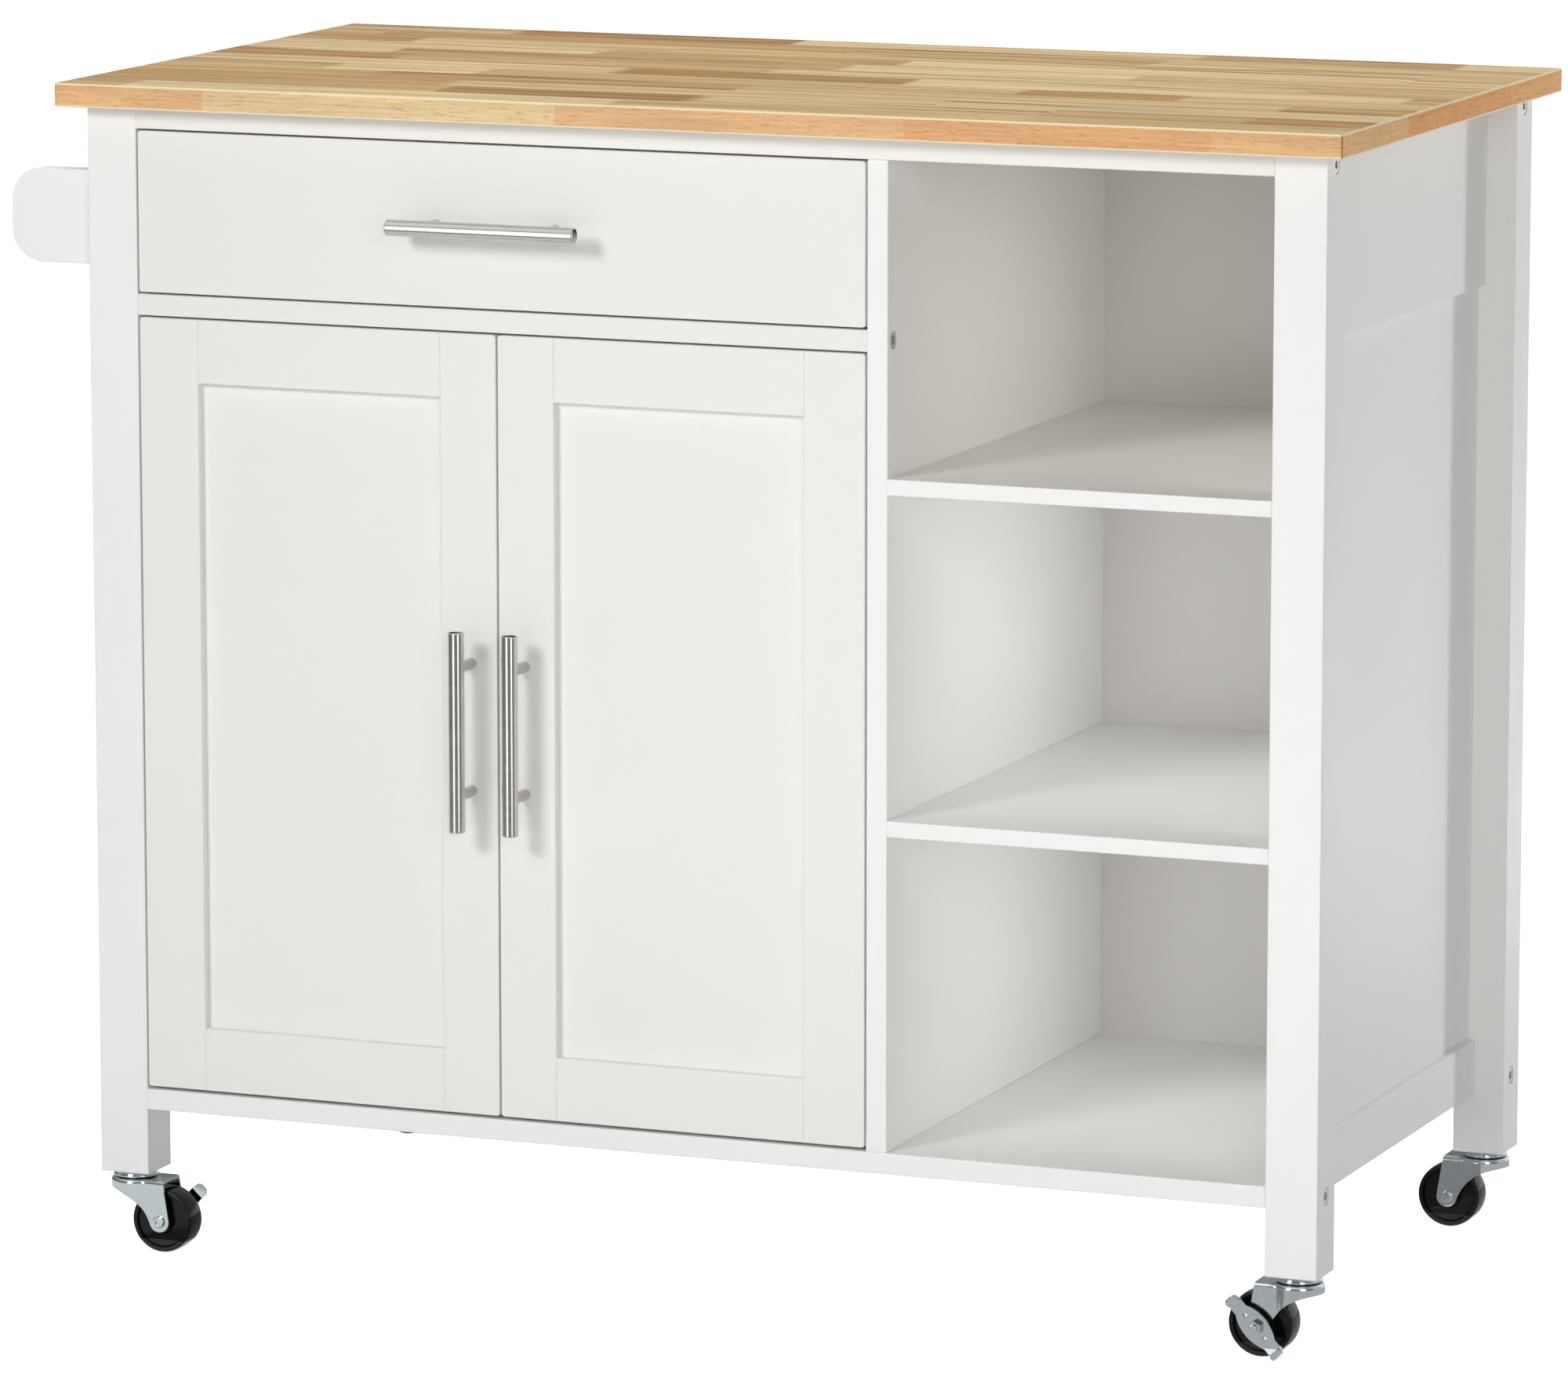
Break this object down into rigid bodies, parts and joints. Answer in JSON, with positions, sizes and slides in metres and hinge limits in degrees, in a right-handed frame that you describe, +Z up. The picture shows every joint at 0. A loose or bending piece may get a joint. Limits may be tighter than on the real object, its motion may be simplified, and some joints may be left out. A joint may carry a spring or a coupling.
{
  "type": "rolling kitchen island",
  "caption": "Rolling kitchen island with a butcher block top, a drawer over paired doors, open side bays, a towel rail and swivel casters, two of them braked.",
  "frame": {"origin": "middle of the whole object seen from above, on the floor", "axes": "+X along the front to the right, +Y from front to back, +Z up"},
  "size_m": [1.063, 0.544, 0.8955],
  "materials": {
    "butcher_block": "clear satin lacquer on glued staves",
    "white_paint": "satin white paint on fibreboard and solid wood",
    "hardboard": "white faced hardboard",
    "brushed_stainless": "lengthwise brushed",
    "zinc_plate": "bright zinc plate",
    "nickel_steel": "nickel plated pressed steel",
    "black_wheel": "glossy moulded"
  },
  "bodies": {
    "cabinet": {"back_panel": "white_paint", "bay_shelf_lower": "white_paint", "bay_shelf_upper": "white_paint", "bottom_panel": "white_paint", "butcher_block_top": "butcher_block", "cabinet_shelf": "white_paint", "caster_stems": "zinc_plate", "divider_panel": "white_paint", "drawer_runner_channels": "nickel_steel", "frame_bolts": "zinc_plate", "hinge_arms": "nickel_steel", "leg_back_left": "white_paint", "leg_back_right": "white_paint", "leg_front_left": "white_paint", "leg_front_right": "white_paint", "mid_rail": "white_paint", "shelf_pins": "zinc_plate", "side_apron_left": "white_paint", "side_apron_right": "white_paint", "side_panel_left": "white_paint", "side_panel_right": "white_paint", "side_rail_left": "white_paint", "side_rail_right": "white_paint", "top_rail_back": "white_paint", "top_rail_front": "white_paint", "towel_brackets": "white_paint", "towel_rod": "white_paint"},
    "drawer": {"drawer_back": "white_paint", "drawer_bottom": "hardboard", "drawer_front": "white_paint", "drawer_handle": "brushed_stainless", "drawer_runner_members": "nickel_steel", "drawer_side_left": "white_paint", "drawer_side_right": "white_paint"},
    "door_left": {"door_left_handle": "brushed_stainless", "door_left_hinge_cups": "nickel_steel", "door_left_hinge_stile": "white_paint", "door_left_meeting_stile": "white_paint", "door_left_panel": "white_paint", "door_left_rails": "white_paint"},
    "door_right": {"door_right_handle": "brushed_stainless", "door_right_hinge_cups": "nickel_steel", "door_right_hinge_stile": "white_paint", "door_right_meeting_stile": "white_paint", "door_right_panel": "white_paint", "door_right_rails": "white_paint"},
    "caster_back_left_swivel": {"caster_back_left_axle": "zinc_plate", "caster_back_left_fork": "zinc_plate"},
    "caster_back_left_roller": {"caster_back_left_wheel": "black_wheel"},
    "caster_back_right_swivel": {"caster_back_right_axle": "zinc_plate", "caster_back_right_fork": "zinc_plate"},
    "caster_back_right_roller": {"caster_back_right_wheel": "black_wheel"},
    "caster_front_left_swivel": {"caster_front_left_axle": "zinc_plate", "caster_front_left_fork": "zinc_plate"},
    "caster_front_left_pedal": {"caster_front_left_brake": "zinc_plate"},
    "caster_front_left_roller": {"caster_front_left_wheel": "black_wheel"},
    "caster_front_right_swivel": {"caster_front_right_axle": "zinc_plate", "caster_front_right_fork": "zinc_plate"},
    "caster_front_right_pedal": {"caster_front_right_brake": "zinc_plate"},
    "caster_front_right_roller": {"caster_front_right_wheel": "black_wheel"}
  },
  "joints": [
    {"name": "drawer_slide", "type": "slide", "parent": "cabinet", "child": "drawer", "axis": [0, -1, 0], "range_m": [0, 0.3]},
    {"name": "door_left_hinge", "type": "hinge", "parent": "cabinet", "child": "door_left", "pos_m": [-0.42, -0.238, 0.426], "axis": [0, 0, -1], "range_deg": [0, 105]},
    {"name": "door_right_hinge", "type": "hinge", "parent": "cabinet", "child": "door_right", "pos_m": [0.1635, -0.238, 0.426], "axis": [0, 0, 1], "range_deg": [0, 105]},
    {"name": "caster_front_left_turn", "type": "hinge", "parent": "cabinet", "child": "caster_front_left_swivel", "pos_m": [-0.4415, -0.218, 0.0555], "axis": [0, 0, 1], "continuous": true},
    {"name": "caster_front_left_roll", "type": "hinge", "parent": "caster_front_left_swivel", "child": "caster_front_left_roller", "pos_m": [-0.4155, -0.218, 0.025], "axis": [0, 1, 0], "continuous": true},
    {"name": "caster_front_left_brake_press", "type": "hinge", "parent": "caster_front_left_swivel", "child": "caster_front_left_pedal", "pos_m": [-0.4155, -0.218, 0.025], "axis": [0, 1, 0], "range_deg": [0, 25]},
    {"name": "caster_front_right_turn", "type": "hinge", "parent": "cabinet", "child": "caster_front_right_swivel", "pos_m": [0.4945, -0.218, 0.0555], "axis": [0, 0, 1], "continuous": true},
    {"name": "caster_front_right_roll", "type": "hinge", "parent": "caster_front_right_swivel", "child": "caster_front_right_roller", "pos_m": [0.4685, -0.218, 0.025], "axis": [0, 1, 0], "continuous": true},
    {"name": "caster_front_right_brake_press", "type": "hinge", "parent": "caster_front_right_swivel", "child": "caster_front_right_pedal", "pos_m": [0.4685, -0.218, 0.025], "axis": [0, -1, 0], "range_deg": [0, 25]},
    {"name": "caster_back_left_turn", "type": "hinge", "parent": "cabinet", "child": "caster_back_left_swivel", "pos_m": [-0.4415, 0.232, 0.0555], "axis": [0, 0, 1], "continuous": true},
    {"name": "caster_back_left_roll", "type": "hinge", "parent": "caster_back_left_swivel", "child": "caster_back_left_roller", "pos_m": [-0.4155, 0.232, 0.025], "axis": [0, 1, 0], "continuous": true},
    {"name": "caster_back_right_turn", "type": "hinge", "parent": "cabinet", "child": "caster_back_right_swivel", "pos_m": [0.4945, 0.232, 0.0555], "axis": [0, 0, 1], "continuous": true},
    {"name": "caster_back_right_roll", "type": "hinge", "parent": "caster_back_right_swivel", "child": "caster_back_right_roller", "pos_m": [0.4685, 0.232, 0.025], "axis": [0, 1, 0], "continuous": true}
  ]
}
